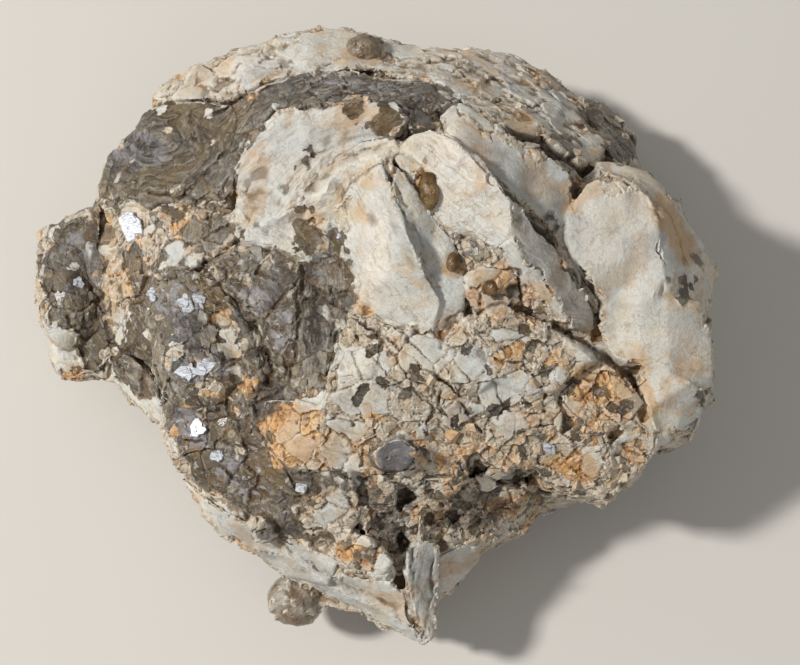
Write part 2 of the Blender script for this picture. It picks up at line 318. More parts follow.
# Round patches where a mineral or a stain fills the rock, for each field: value, right, down, half the size
# to the right and down, and turn in degrees.
PATCHES = {
    "mica": [
        (1, 136, 278, 15, 29, 0), (1, 396, 456, 25, 19, 0), (0.9, 374, 490, 24, 12, 0),
        (0.9, 210, 236, 9, 12, 0), (0.9, 174, 292, 26, 27, 0), (0.9, 479, 250, 9, 8, 30),
        (0.8, 683, 292, 8, 10, 0), (0.8, 699, 399, 7, 7, 0), (0.8, 567, 151, 10, 21, -25),
        (0.8, 352, 108, 14, 14, 0), (0.9, 384, 124, 17, 14, 35), (0.85, 306, 234, 15, 24, 0),
        (0.7, 336, 248, 12, 18, 0), (0.7, 304, 161, 7, 9, 20), (0, 63, 347, 19, 27, -25),
        (0, 43, 238, 13, 16, 20), (0.1, 222, 312, 10, 6, 0), (0, 226, 330, 9, 14, 0),
        (0.25, 212, 388, 24, 12, -10), (0.1, 247, 387, 15, 14, 0), (0, 322, 511, 30, 22, 0),
        (0, 306, 435, 40, 36, 0), (0, 114, 282, 13, 58, -6), (0, 233, 366, 9, 9, 0),
        (0.3, 176, 352, 9, 14, 0), (0.2, 246, 452, 10, 7, 20), (0.2, 237, 353, 8, 8, 0),
        (0.2, 263, 370, 6, 8, 0), (0.6, 205, 232, 28, 22, 0), (0.6, 160, 262, 14, 10, 0),
        (0.5, 236, 236, 14, 12, 0), (0.4, 448, 514, 60, 22, -10), (0.5, 300, 500, 26, 10, 0),
    ],
    "smooth": [
        (0.9, 168, 150, 72, 56, -15), (0.95, 396, 456, 24, 18, 0), (1, 226, 330, 10, 15, 0),
        (0.8, 318, 308, 22, 84, 0), (0.8, 270, 100, 40, 16, -30), (0.7, 68, 256, 32, 40, 0),
        (1, 62, 348, 20, 28, -25), (0.7, 232, 345, 22, 30, 0), (0.7, 278, 288, 20, 32, 0),
        (0.6, 182, 330, 24, 22, 0), (0.6, 128, 330, 22, 22, 0), (0.5, 480, 84, 100, 34, 15),
        (0.65, 530, 132, 70, 26, 35), (0.3, 590, 118, 28, 30, 0), (0.6, 230, 70, 70, 26, -18),
        (0.55, 480, 60, 60, 12, 6), (0.6, 362, 378, 46, 38, 20), (0.5, 505, 375, 60, 34, 10),
        (1, 576, 350, 24, 14, 35), (0.6, 520, 329, 34, 14, 12), (1, 622, 166, 36, 12, 25),
        (1, 600, 148, 14, 12, 0), (0.5, 178, 245, 36, 24, 0), (0.4, 580, 460, 34, 24, 0),
        (0.7, 660, 446, 20, 12, -30), (0.5, 618, 385, 18, 10, 40), (0.4, 526, 425, 40, 20, 10),
        (0.6, 420, 350, 30, 16, 30), (0.4, 480, 268, 22, 20, 0), (0.9, 418, 178, 6, 16, -30),
        (0.4, 452, 440, 30, 30, 0), (0.4, 310, 480, 50, 60, 0),
    ],
    "rust": [
        (1, 250, 387, 14, 12, 0), (0.75, 286, 434, 32, 36, 0), (0.6, 326, 446, 16, 26, 0),
        (0.9, 352, 552, 26, 14, 10), (0.9, 602, 386, 36, 22, 20), (0.8, 634, 404, 20, 26, 0),
        (0.45, 114, 290, 14, 46, 0), (1, 192, 449, 9, 9, 0), (0.8, 503, 508, 18, 11, 0),
        (0.6, 318, 492, 28, 10, 0), (0.75, 500, 274, 12, 17, 0), (0.9, 458, 268, 11, 10, 0),
        (0.8, 366, 56, 18, 14, 0), (0.8, 254, 158, 6, 18, 35), (0.5, 620, 420, 30, 20, 0),
        (0.7, 574, 468, 34, 16, 10), (0.9, 650, 398, 10, 18, 0), (0.9, 674, 228, 12, 46, -25),
        (0.9, 422, 186, 6, 16, 0), (0.7, 226, 318, 12, 10, 0), (0.6, 184, 226, 28, 16, 15),
        (0.8, 291, 205, 4, 9, 10), (0.6, 244, 122, 5, 16, 30), (0.5, 460, 425, 18, 38, -15),
        (0.4, 532, 425, 36, 26, 0), (0.8, 248, 204, 7, 14, 0), (0.8, 352, 110, 18, 16, 0),
        (0.7, 386, 126, 18, 14, 35), (0.7, 312, 228, 14, 24, 0), (0.6, 363, 222, 5, 28, 0),
        (0.7, 572, 200, 12, 14, 0), (0.6, 520, 118, 30, 6, 30), (0.7, 470, 84, 30, 6, 10),
        (0.7, 136, 276, 15, 28, 0), (0.5, 170, 130, 14, 10, 0), (0.7, 478, 130, 26, 6, 30),
        (0.7, 236, 110, 16, 10, -30), (0.6, 212, 398, 14, 12, 0), (0.6, 640, 360, 14, 22, -30),
        (0.7, 270, 470, 14, 10, 0), (0.5, 400, 455, 60, 20, 0), (0.7, 600, 316, 6, 12, 0),
    ],
    "dark": [
        (0.7, 200, 350, 14, 12, 0), (0.7, 255, 352, 10, 8, 0), (0.8, 247, 368, 6, 8, 0),
        (1, 273, 393, 8, 11, 0), (1, 404, 498, 14, 12, 0), (1, 400, 544, 10, 18, 0),
        (0.8, 382, 524, 16, 22, 0), (0.9, 518, 480, 14, 9, 0), (0.9, 264, 402, 15, 21, 20),
        (0.9, 513, 296, 9, 13, 0), (0.7, 470, 510, 48, 20, -10), (1, 414, 108, 11, 10, 40),
        (1, 269, 528, 12, 11, 0), (0.8, 306, 474, 14, 8, 0), (0.7, 290, 500, 28, 7, 0),
        (0.7, 589, 114, 11, 20, -15), (0.8, 699, 259, 6, 12, -15), (0.7, 554, 224, 9, 15, 0),
        (0.9, 78, 285, 13, 11, 0), (0.6, 99, 313, 7, 16, 0), (0.7, 313, 310, 8, 60, 0),
        (0.6, 330, 300, 4, 40, 0), (0.5, 301, 330, 4, 46, 0), (0.6, 454, 324, 8, 14, 40),
        (1, 95, 228, 5, 28, 0), (0.8, 330, 232, 6, 12, 0), (0.6, 190, 180, 26, 7, -15),
        (0.6, 130, 150, 10, 6, 0), (0.5, 160, 166, 14, 5, 0), (0.6, 218, 300, 10, 8, 0),
        (0.6, 176, 410, 10, 12, 0), (0.6, 244, 424, 10, 8, 0), (0.7, 388, 178, 5, 10, -30),
        (0.6, 350, 490, 20, 9, 0), (0.8, 669, 279, 5, 3, 0), (0.8, 690, 303, 6, 3, 0),
        (0.9, 701, 398, 6, 5, 0), (0.9, 692, 427, 6, 3, -20),
    ],
    "grey": [
        (0.8, 186, 330, 16, 20, 0), (0.4, 226, 330, 10, 14, 0), (0.3, 70, 262, 24, 20, 0),
        (1, 134, 154, 32, 20, 0), (0.8, 350, 88, 96, 16, 3), (1, 396, 456, 26, 20, 0),
        (0.9, 560, 276, 18, 84, -34), (0.8, 404, 220, 10, 52, -24), (0.4, 422, 590, 22, 50, 0),
        (0.5, 300, 160, 80, 40, -28), (0.8, 300, 578, 90, 34, 32), (0.7, 460, 340, 20, 20, 0),
        (0.8, 520, 178, 16, 60, -52), (0.7, 467, 250, 13, 10, 0), (0.6, 626, 474, 18, 14, 0),
        (0.6, 650, 242, 12, 16, 0), (0.5, 330, 120, 16, 10, 0), (0.7, 280, 290, 14, 26, 0),
    ],
    "warm": [
        (0.9, 158, 178, 30, 9, -8), (0.8, 230, 128, 10, 20, 30), (1, 210, 296, 24, 16, 20),
        (0.9, 300, 222, 16, 20, 0), (0.8, 190, 112, 20, 12, 0), (0.8, 176, 190, 26, 8, -10),
        (0.8, 352, 112, 18, 14, 0), (0.8, 384, 124, 18, 14, 35), (0.7, 262, 470, 20, 12, 0),
        (0.7, 290, 450, 20, 16, 0), (1, 470, 158, 20, 50, -42), (0.8, 620, 232, 36, 44, 0),
        (0.6, 440, 190, 18, 26, 0), (0.6, 374, 250, 14, 50, 0), (0.7, 596, 200, 14, 14, 0),
        (0.6, 680, 360, 20, 30, 0), (0.5, 455, 580, 20, 24, 0), (0.6, 480, 66, 60, 16, 8),
        (0.7, 560, 300, 16, 30, -30), (0.5, 250, 60, 50, 12, -15),
    ],
    "pale": [
        (0.95, 396, 456, 24, 17, 0), (0.62, 198, 368, 38, 22, -15), (0.62, 180, 300, 30, 18, 0),
        (0.6, 192, 430, 16, 36, -15), (0.55, 76, 246, 22, 16, 0), (0.58, 236, 474, 28, 20, 30),
        (0.5, 250, 300, 22, 16, 0), (0.5, 285, 330, 14, 30, 0), (0.8, 622, 250, 36, 62, -25),
        (0.5, 660, 330, 30, 30, 0), (0.45, 140, 150, 34, 20, 0), (0.4, 370, 86, 60, 8, 5),
    ],
}

# How the leaves and cleavage lie on the sketch: degrees from right, turning down, how clear they are, then a
# round zone as above.
LEANS = [
    (-32, 0.7, 320, 150, 100, 60, -28), (-10, 1, 400, 88, 130, 24, 4), (-28, 0.4, 210, 72, 90, 26, -18),
    (88, 1, 322, 320, 30, 80, 0), (62, 0.5, 400, 235, 50, 90, -15), (44, 0.6, 505, 235, 50, 130, -40),
    (28, 0.3, 510, 165, 30, 72, -50), (-40, 0.2, 620, 245, 58, 66, 0), (20, 0.3, 660, 370, 60, 70, 0),
    (30, 0.6, 330, 575, 130, 40, 32), (88, 1, 424, 592, 16, 54, 0), (48, 0.9, 138, 390, 22, 48, -40),
    (55, 0.6, 232, 345, 60, 90, -20), (-50, 0.8, 236, 140, 30, 60, 40), (75, 0.6, 70, 290, 40, 80, 0),
    (12, 0.3, 500, 80, 110, 40, 12), (40, 1, 556, 275, 16, 84, -34),
]
# The leaves curl round this place: right, down, and how much wider than high.
EYE_OF_SWIRL = (168, 140, 1.35)
EYE_ZONE = (0.8, 160, 158, 66, 50, -15)

# Leaves of mica that catch the light: right, down, radius in sketch units.
SILVER_FLAKES = [
    (133, 225, 16), (155, 294, 7), (187, 303, 10), (200, 299, 7), (187, 372, 10), (206, 367, 9),
    (197, 428, 9), (217, 455, 7), (303, 487, 6), (550, 447, 7), (78, 283, 6), (340, 236, 3),
]

# The fields on the far sides, which the sketch doesn't show: size in mm, octaves and salt of the noise, the
# values between which the field rises from 0, and how high it rises.
HIDDEN_FIELDS = {
    "mica": (24, 3, 64, 0.08, 0.2, 1),
    "smooth": (17, 3, 65, -0.05, 0.15, 1),
    "rust": (11, 3, 66, 0.15, 0.4, 0.8),
    "dark": (7, 3, 67, 0.3, 0.5, 0.6),
    "grey": (19, 2, 68, 0.0, 0.4, 1),
    "warm": (15, 2, 69, 0.0, 0.4, 1),
}
SHOWN_RUST = (6, 3, 66, 0.02, 0.35, 0.55)  # and the faint rust all over the side that the sketch shows

# Where no lean is given: which way the leaves are stacked, and how clear they are.
HIDDEN_STACK = (0.35, 0.5, 0.8)
HIDDEN_CLEAR = 0.5
# How much mica each kind of block holds, and how smoothly it cleaves.
KINDS_OF_BLOCK = ((GRANULAR_BLOCKS, 0.1, 0.15), (FELDSPAR_BLOCKS, 0, 1), (MICA_BLOCKS, 0.95, 0))

# How far the borders blend, in sketch units.
BLOCK_SOFTNESS = 2
PATCH_SOFTNESS = 7
LEAN_SOFTNESS = 8

# Waves that make lines wander: reach in sketch units, size in mm, and the salts for right and down.
BORDER_WAVES = ((5, 3.5, 60, 62), (3, 1.2, 61, 63))
CRACK_WAVES = ((2.2, 2.4, 71, 72), (1.2, 0.9, 73, 74))
LEAF_WAVES = ((2.4, 10, 90), (0.9, 3.5, 91), (0.25, 1.2, 92))  # these in mm: reach, size, salt

# The broken surface's facets: size in mm, salt, tilt, step and groove.
COARSE_FACETS = (6.5, 81, 1.3, 0.8, 0.4)
MIDDLE_FACETS = (2.7, 82, 1.2, 0.8, 0.4)
FINE_FACETS = (1.25, 83, 1.2, 0.8, 0.3)
JOINT_WIDTH = 0.1  # of a facet
LEAF_JUMP_MM = 9  # how far the leaves of one coarse facet may be out of step with the next

# The meshes.
BOX_ROOM_MM = (2, 2, 1)  # how far the looks may stand out of the solid's box
VOXEL_MM = 0.4
BASE_VOXEL_MM = 0.6
BASE_SUNK_MM = 0.35  # how far the rock between the minerals lies under the solid's surface
PIECE_TRIANGLES = 195000
THINNED_BELOW_MM = 2.5  # the meshes are coarse below this depth in the solid
BURIED_BELOW_MM = 1.2  # no small piece is strewn below this depth
SHARP_ROUNDS, BROAD_ROUNDS, WEAR_ROUNDS = 2, 14, 5  # of averaging
FACING_THE_EYE = -0.35  # below this, a normal along the line of sight isn't on the outline
LOW_DOWN_MM = 24  # the small pieces below this height are of the smallest size
LEAF_COUNT, LEAF_SEED = 420, 11
GRAIN_COUNT, GRAIN_SEED = 1000, 12
FLAKE_LAYERS, FLAKE_SEED = 3, 13

# The grains that only the colours show, and how far the fibres are drawn out along the leaves.
SMALL_CELL_MM, TINY_CELL_MM = 1.05, 0.45
FIBRE_STRETCH = 0.13

# The studio: which way each light goes, its power in watts and size in metres, and the sky.
KEY_TRAVEL = Vector((0.93, -0.04, -1.0))
KEY_LIGHT = (25, 0.16)
FILL_TRAVEL = Vector((-0.3, 0.6, -1.0))
FILL_LIGHT = (2, 1.2)
LAMP_DISTANCE = 1.6
SKY_STRENGTH = 0.31
SKY_COLOUR = (0.95, 0.97, 1.0, 1)
SENSOR_MM = 36
FLOOR_REACH = 3


# ---------------------------------------------------------------- the sketch plane

def at(right, down, height_mm):
    """The point at this height over the table that the sketch shows there."""
    ray = (
        SIGHT * EYE_DISTANCE
        + Vector((1, 0, 0)) * (right - SKETCH_CENTRE[0]) * SKETCH_MM
        + SKETCH_UP * (SKETCH_CENTRE[1] - down) * SKETCH_MM
    )
    return EYE + ray * ((height_mm * MM - EYE.z) / ray.z)


def sketch_places(points):
    """Where the sketch shows these points: an array of right and an array of down."""
    rays = points - np.array(EYE)
    scale = EYE_DISTANCE / SKETCH_MM / (rays @ np.array(SIGHT))
    right = SKETCH_CENTRE[0] + rays[:, 0] * scale
    down = SKETCH_CENTRE[1] - (rays @ np.array(SKETCH_UP)) * scale
    return right, down


# ---------------------------------------------------------------- noise on arrays of points

def scrambled(cell, salt):
    """A 32-bit number for each whole-numbered cell."""
    x, y, z = cell.astype(np.int64).astype(np.uint32).T
    mixed = x * np.uint32(374761393) + y * np.uint32(668265263) + z * np.uint32(2246822519)
    mixed += np.uint32(salt * 3266489917 % 2**32)
    mixed = (mixed ^ (mixed >> np.uint32(13))) * np.uint32(1274126177)
    mixed = (mixed ^ (mixed >> np.uint32(15))) * np.uint32(2654435761)
    return mixed ^ (mixed >> np.uint32(16))


def hashed(cell, salt):
    """A number from 0 to 1 for each whole-numbered cell."""
    return scrambled(cell, salt) / 2**32


def hashed_triple(cell, salt):
    """Three numbers from 0 to 1 for each whole-numbered cell."""
    mixed = scrambled(cell, salt)
    return np.stack([(mixed >> np.uint32(shift)) & np.uint32(1023) for shift in (0, 10, 20)], axis=1) / 1023


def wavy(points, size, salt=0):
    """Smooth noise from -1 to 1, with bumps of about this size."""
    place = points / size
    low = np.floor(place)
    t = place - low
    t = t * t * (3 - 2 * t)
    total = np.zeros(len(points))
    for corner in np.ndindex(2, 2, 2):
        step = np.array(corner)
        weight = np.prod(np.where(step, t, 1 - t), axis=1)
        total += weight * hashed(low + step, salt)
    return total * 2 - 1


def rough(points, size, octaves=4, salt=0):
    """Noise with ever finer octaves, about -1 to 1."""
    total = sum(wavy(points, size / 2**k, salt + k) / 2**k for k in range(octaves))
    return total / (2 - 2 ** (1 - octaves))


def stirred(points, size, reach, salt):
    """The points, pushed about by noise of this size, by up to this reach."""
    return points + reach * np.stack([wavy(points, size, salt + 50 + k) for k in range(3)], axis=1)


def facets(points, size_mm, salt, tilt=1.0, step=0.8, groove=0.4):
    """A surface broken into flat facets of this size: its height, each facet's number, and its joints."""
    place = points / (size_mm * MM)
    low = np.floor(place)
    first = np.full(len(points), 1e9)
    second = first.copy()
    height = np.zeros(len(points))
    number = np.zeros(len(points))
    for neighbour in np.ndindex(3, 3, 3):
        cell = low + np.array(neighbour) - 1
        away = place - cell - hashed_triple(cell, salt)
        lean = hashed_triple(cell, salt + 1) * 2 - 1
        distance = np.sqrt(np.einsum("ij,ij->i", away, away))
        nearest = distance < first
        second = np.where(nearest, first, np.minimum(second, distance))
        first = np.where(nearest, distance, first)
        own = tilt * np.einsum("ij,ij->i", lean, away) + step * (hashed(cell, salt + 2) - 0.5)
        height = np.where(nearest, own, height)
        number = np.where(nearest, hashed(cell, salt + 3), number)
    joint = np.clip(1 - (second - first) / JOINT_WIDTH, 0, 1)
    return height - groove * joint, number, joint


# ---------------------------------------------------------------- lines and outlines on the sketch

def distance_to_line(right, down, line):
    """How far each place is from this line of points, in sketch units."""
    nearest = np.full(len(right), 1e9)
    for (x0, y0), (x1, y1) in zip(line, line[1:]):
        along = np.array([x1 - x0, y1 - y0], dtype=float)
        t = np.clip(((right - x0) * along[0] + (down - y0) * along[1]) / (along @ along), 0, 1)
        nearest = np.minimum(nearest, np.hypot(right - x0 - t * along[0], down - y0 - t * along[1]))
    return nearest


def depth_inside(right, down, outline):
    """How far each place is inside this closed outline, in sketch units: negative outside."""
    inside = np.zeros(len(right), dtype=bool)
    closed = [*outline, outline[0]]
    for (x0, y0), (x1, y1) in zip(closed, closed[1:]):
        if y0 == y1:
            continue
        crosses = (down < y0) != (down < y1)
        inside ^= crosses & (right < x0 + (down - y0) * (x1 - x0) / (y1 - y0))
    return np.where(inside, 1, -1) * distance_to_line(right, down, closed)


def near(right, down, line, margin):
    """The places in the line's box, widened by this margin."""
    low = np.min(np.array(line), axis=0)[:2] - margin
    high = np.max(np.array(line), axis=0)[:2] + margin
    return np.nonzero((right > low[0]) & (right < high[0]) & (down > low[1]) & (down < high[1]))[0]


def wandering(points, waves):
    """Where the sketch shows these points, pushed about by these waves."""
    right, down = sketch_places(points)
    for reach, size_mm, right_salt, down_salt in waves:
        right = right + reach * wavy(points, size_mm * MM, right_salt)
        down = down + reach * wavy(points, size_mm * MM, down_salt)
    return right, down


def weight_of(right, down, outline, softness):
    """How far each place belongs to this outline, from 0 to 1."""
    weight = np.zeros(len(right))
    close = near(right, down, outline, softness + 1)
    flat = [corner[:2] for corner in outline]
    weight[close] = smooth_step(depth_inside(right[close], down[close], flat), -softness, softness)
    return weight


def weight_in_round(right, down, zone, softness):
    """How far each place belongs to this turned ellipse, from 0 to 1."""
    x, y, half_right, half_down, turn = zone
    cosine, sine = math.cos(math.radians(turn)), math.sin(math.radians(turn))
    along = ((right - x) * cosine + (down - y) * sine) / half_right
    across = ((down - y) * cosine - (right - x) * sine) / half_down
    return smooth_step((1 - np.hypot(along, across)) * min(half_right, half_down), -softness, softness)


# ---------------------------------------------------------------- which mineral is where

def smooth_step(x, low, high):
    t = np.clip((x - low) / (high - low), 0, 1)
    return t * t * (3 - 2 * t)


def clouded(points, size_mm, octaves, salt, low, high, most):
    """Soft clouds: 0 where the noise is low, and the most where it is high."""
    return most * smooth_step(rough(points, size_mm * MM, octaves, salt), low, high)


def minerals(points, normals):
    """The fields that say what each point is made of, all from 0 to 1."""
    facing = smooth_step(-(normals @ np.array(SIGHT)), 0.0, 0.3)
    right, down = wandering(points, BORDER_WAVES)
    hidden = {"pale": np.zeros(len(points))}
    for field, cloud in HIDDEN_FIELDS.items():
        hidden[field] = clouded(points, *cloud)
    shown = {field: np.zeros(len(points)) for field in hidden}
    shown["rust"] += clouded(points, *SHOWN_RUST)
    for blocks, mica, smooth in KINDS_OF_BLOCK:
        for outline, _, _ in blocks.values():
            weight = weight_of(right, down, outline, BLOCK_SOFTNESS)
            shown["mica"] += (mica - shown["mica"]) * weight
            shown["smooth"] += (smooth - shown["smooth"]) * weight
    for field, patches in PATCHES.items():
        for value, *zone in patches:
            shown[field] += (value - shown[field]) * weight_in_round(right, down, zone, PATCH_SOFTNESS)
    return {field: hidden[field] + (shown[field] - hidden[field]) * facing for field in hidden}


def foliation(points, normals):
    """The place of each point across the leaves, in mm, and how clear the leaves are there, from 0 to 1."""
    facing = -(normals @ np.array(SIGHT))
    right, down = sketch_places(points)
    across = points @ np.array(HIDDEN_STACK) / MM
    clear = np.full(len(points), HIDDEN_CLEAR)
    x, y, wider = EYE_OF_SWIRL
    zones = [(down * math.cos(math.radians(lean)) - right * math.sin(math.radians(lean)), zone)
             for lean, *zone in LEANS]
    zones.append((np.hypot((right - x) / wider, down - y), EYE_ZONE))
    for place, (strength, *zone) in zones:
        weight = weight_in_round(right, down, zone, LEAN_SOFTNESS) * (facing > 0.1)
        clear = np.where(weight > 0.5, strength, clear) * np.clip(np.abs(2 * weight - 1) * 1.6, 0, 1)
        across = np.where(weight > 0.5, place * SKETCH_MM / MM, across)
    across += sum(reach_mm * wavy(points, size_mm * MM, salt) for reach_mm, size_mm, salt in LEAF_WAVES)
    return across, clear


# ---------------------------------------------------------------- relief

def pressed_in(points, normals, brittle):
    """How deep the hollows and cracks press these points in along the line of sight, and how dark."""
    right, down = wandering(points, CRACK_WAVES)
    # The cracks open and close along their length, and the hollows have ragged rims.
    strength = np.clip(0.75 + 0.9 * wavy(points, 3.5 * MM, 75), 0, 1.2) * brittle
    ragged = 1 + 0.45 * wavy(points, 1.8 * MM, 76)
    depth = np.zeros(len(points))
    stain = np.zeros(len(points))
    for x, y, radius, deepest in HOLLOWS:
        reach = np.hypot(right - x, down - y) / radius * ragged
        depth = np.maximum(depth, deepest * np.sqrt(np.clip(1 - reach**2, 0, 1)))
    for width, deepest, line in CRACKS.values():
        close = near(right, down, line, 3 * width)
        away = distance_to_line(right[close], down[close], line)
        # A crack is a narrow slot between gentle banks.
        slot = np.clip(1 - away / (0.6 * width), 0, 1)
        banks = np.clip(1 - away / (2.5 * width), 0, 1)
        groove = slot * 0.7 + banks**2 * 0.3
        depth[close] = np.maximum(depth[close], deepest * groove * strength[close])
        dark = min(1, deepest / 1.8) * np.clip(1.3 - away / (0.5 * width), 0, 1) * strength[close]
        stain[close] = np.maximum(stain[close], dark)
    for width, height, line in RIDGES.values():
        close = near(right, down, line, 2 * width)
        away = distance_to_line(right[close], down[close], line) / width
        depth[close] -= height * np.clip(1 - away, 0, 1) ** 1.3
    upper = smooth_step(-(normals @ np.array(SIGHT)), -0.3, 0.0)
    return depth * upper * MM, np.clip(stain * upper, 0, 1)


def relief(points, fields):
    """How high the broken surface stands, in mm. Adds what the colours need to the fields."""
    stirring = stirred(stirred(points, 3.5 * MM, 0.8 * MM, 80), 1.1 * MM, 0.22 * MM, 88)
    swell = rough(points, 13 * MM, 3, 85)
    coarse, lump, lump_joint = facets(stirring, *COARSE_FACETS)
    middle, grain, grain_joint = facets(stirring, *MIDDLE_FACETS)
    fine, bit, bit_joint = facets(stirring, *FINE_FACETS)
    # Cut off by the facets' numbers, the minerals' borders run along the joints.
    fields["mica"] = smooth_step(fields["mica"] - grain, -0.04, 0.04)
    mica, smooth = fields["mica"], fields["smooth"]
    fields["across"] = fields["across"] + LEAF_JUMP_MM * lump * mica
    drawn_out = np.column_stack([points[:, :2] * 0.1, fields["across"] * MM])
    streaks = rough(drawn_out, 1.6 * MM, 3, 84) * fields["clear"]
    # What is smooth has few steps and joints.
    broken = 1 - smooth_step(smooth, 0.85, 1.0)
    ragged = 1 - 0.85 * smooth
    fields["lump"], fields["grain"], fields["bit"] = lump, grain, bit
    fields["smooth"] = np.where(mica > 0.5, smooth, smooth_step(smooth - lump, -0.03, 0.03))
    slab = 0.4 * swell + 0.35 * streaks + broken * 0.55 * coarse
    crumbly = 0.5 * swell + 0.6 * coarse + 0.42 * middle + 0.15 * fine
    leafy = 0.9 * swell + 0.6 * streaks + ragged * (0.6 * coarse + 0.2 * middle)
    height = crumbly + (slab - crumbly) * fields["smooth"]
    crumb_joint = np.maximum(np.maximum(0.8 * lump_joint, grain_joint), 0.5 * bit_joint)
    rock_joint = crumb_joint + (0.7 * broken * lump_joint - crumb_joint) * fields["smooth"]
    mica_joint = np.maximum(0.6 * lump_joint, 0.2 * grain_joint) * (1 - smooth)
    fields["joint"] = rock_joint + (mica_joint - rock_joint) * mica
    return height + (leafy - height) * mica


def roughened(mesh, sunk_mm=0.0):
    """Gives the mesh its cracks, hollows and broken surface, and returns what its points are made of."""
    points, normals = points_of(mesh), normals_of(mesh)
    fields = minerals(points, normals)
    fields["across"], fields["clear"] = foliation(points, normals)
    height = relief(points, fields)
    depth, fields["stain"] = pressed_in(points, normals, 1 - 0.45 * fields["smooth"] * (1 - fields["mica"]))
    moved(mesh, points + np.outer(depth, SIGHT) + normals * ((height - sunk_mm) * MM)[:, None])
    return fields


# ---------------------------------------------------------------- surface attributes for the materials

def store(mesh, name, values):
    """Puts a number on each vertex, for the materials to read."""
    attribute = mesh.attributes.new(name, "FLOAT", "POINT")
    attribute.data.foreach_set("value", np.ascontiguousarray(values, dtype=np.float32))


def averaged(mesh, rounds):
    """The places of the vertices after each has moved this many times to the middle of its neighbours."""
    edges = np.empty(len(mesh.edges) * 2, dtype=np.int32)
    mesh.edges.foreach_get("vertices", edges)
    ends, others = edges.reshape(-1, 2).T
    mean = points_of(mesh)
    many = len(mean)
    count = np.bincount(ends, minlength=many) + np.bincount(others, minlength=many)
    for _ in range(rounds):
        total = np.zeros_like(mean)
        for k in range(3):
            total[:, k] = np.bincount(ends, mean[others, k], many) + np.bincount(others, mean[ends, k], many)
        mean = total / np.maximum(count, 1)[:, None]
    return mean


def cavity(mesh, rounds):
    """How hollow the surface is around each vertex, in mm: positive in a groove, negative on an edge."""
    return np.einsum("ij,ij->i", averaged(mesh, rounds) - points_of(mesh), normals_of(mesh)) / MM


# ---------------------------------------------------------------- building closed meshes

def add_block(bm, face, drop, spread):
    """A cleaved block with this upper face. Its sides run down and spread out, or inwards below zero."""
    top = [at(*corner) for corner in face]
    centre = sum(top, Vector()) / len(top)
    upper = [bm.verts.new(p) for p in top]
    lower = []
    for p in top:
        foot = p + Vector((p.x - centre.x, p.y - centre.y, 0)).normalized() * spread * MM
        foot.z = max(p.z - drop * MM, 2 * MM)
        lower.append(bm.verts.new(foot))
    count = len(face)
    faces = [bm.faces.new(upper), bm.faces.new(reversed(lower))]
    for i in range(count):
        j = (i + 1) % count
        bm.faces.new((upper[j], upper[i], lower[i], lower[j]))
    bmesh.ops.triangulate(bm, faces=faces)


def add_lump(bm, right, down, height, radii):
    """A rounded lump, such as a quartz nodule."""
    size = Matrix.Diagonal((*(r * MM for r in radii), 1))
    place = Matrix.Translation(at(right, down, height)) @ size
    bmesh.ops.create_icosphere(bm, subdivisions=4, radius=1, matrix=place)


def mesh_of(obj):
    """The object's mesh with its modifiers applied. The object is removed."""
    graph = bpy.context.evaluated_depsgraph_get()
    mesh = bpy.data.meshes.new_from_object(obj.evaluated_get(graph))
    bpy.data.objects.remove(obj)
    return mesh


def linked(name, mesh):
    obj = bpy.data.objects.new(name, mesh)
    bpy.context.scene.collection.objects.link(obj)
    return obj


def mesh_from(bm, name):
    """A mesh of what has been built, facing outwards."""
    mesh = bpy.data.meshes.new(name)
    bmesh.ops.recalc_face_normals(bm, faces=bm.faces)
    bm.to_mesh(mesh)
    bm.free()
    return mesh


def grown_together(mesh, voxel_mm):
    """The mesh with all that overlaps in it made one closed surface."""
    obj = linked("rough", mesh)
    remesh = obj.modifiers.new("grow together", "REMESH")
    remesh.mode = "VOXEL"
    remesh.voxel_size = voxel_mm * MM
    return mesh_of(obj)


def thinned(mesh):
    """The mesh with no more triangles than a piece may have."""
    mesh.calc_loop_triangles()
    obj = linked("full", mesh)
    decimate = obj.modifiers.new("thin", "DECIMATE")
    decimate.ratio = min(1.0, PIECE_TRIANGLES / len(mesh.loop_triangles))
    decimate.use_collapse_triangulate = True
    return mesh_of(obj)


def triples_of(mesh, what):
    """What each vertex has of this, such as its place, as an array of triples."""
    flat = np.empty(len(mesh.vertices) * 3)
    mesh.vertices.foreach_get(what, flat)
    return flat.reshape(-1, 3)


def points_of(mesh):
    return triples_of(mesh, "co")


def normals_of(mesh):
    return triples_of(mesh, "normal")


def moved(mesh, points):
    """Puts the mesh's vertices here, kept over the table and near the solid's box."""
    low, high = (np.array(corner) for corner in CAD_BOX)
    room = np.array(BOX_ROOM_MM) * MM
    inside = np.clip(points, low - room, high + room)
    inside[:, 2] = np.maximum(inside[:, 2], 0)
    mesh.vertices.foreach_set("co", inside.ravel())
    mesh.update()


# ---------------------------------------------------------------- materials

def srgb(red, green, blue):
    """A colour given as it looks on screen, 0 to 255, as the shader wants it."""
    def linear(value):
        c = value / 255
        return c / 12.92 if c <= 0.04045 else ((c + 0.055) / 1.055) ** 2.4
    return (linear(red), linear(green), linear(blue), 1)


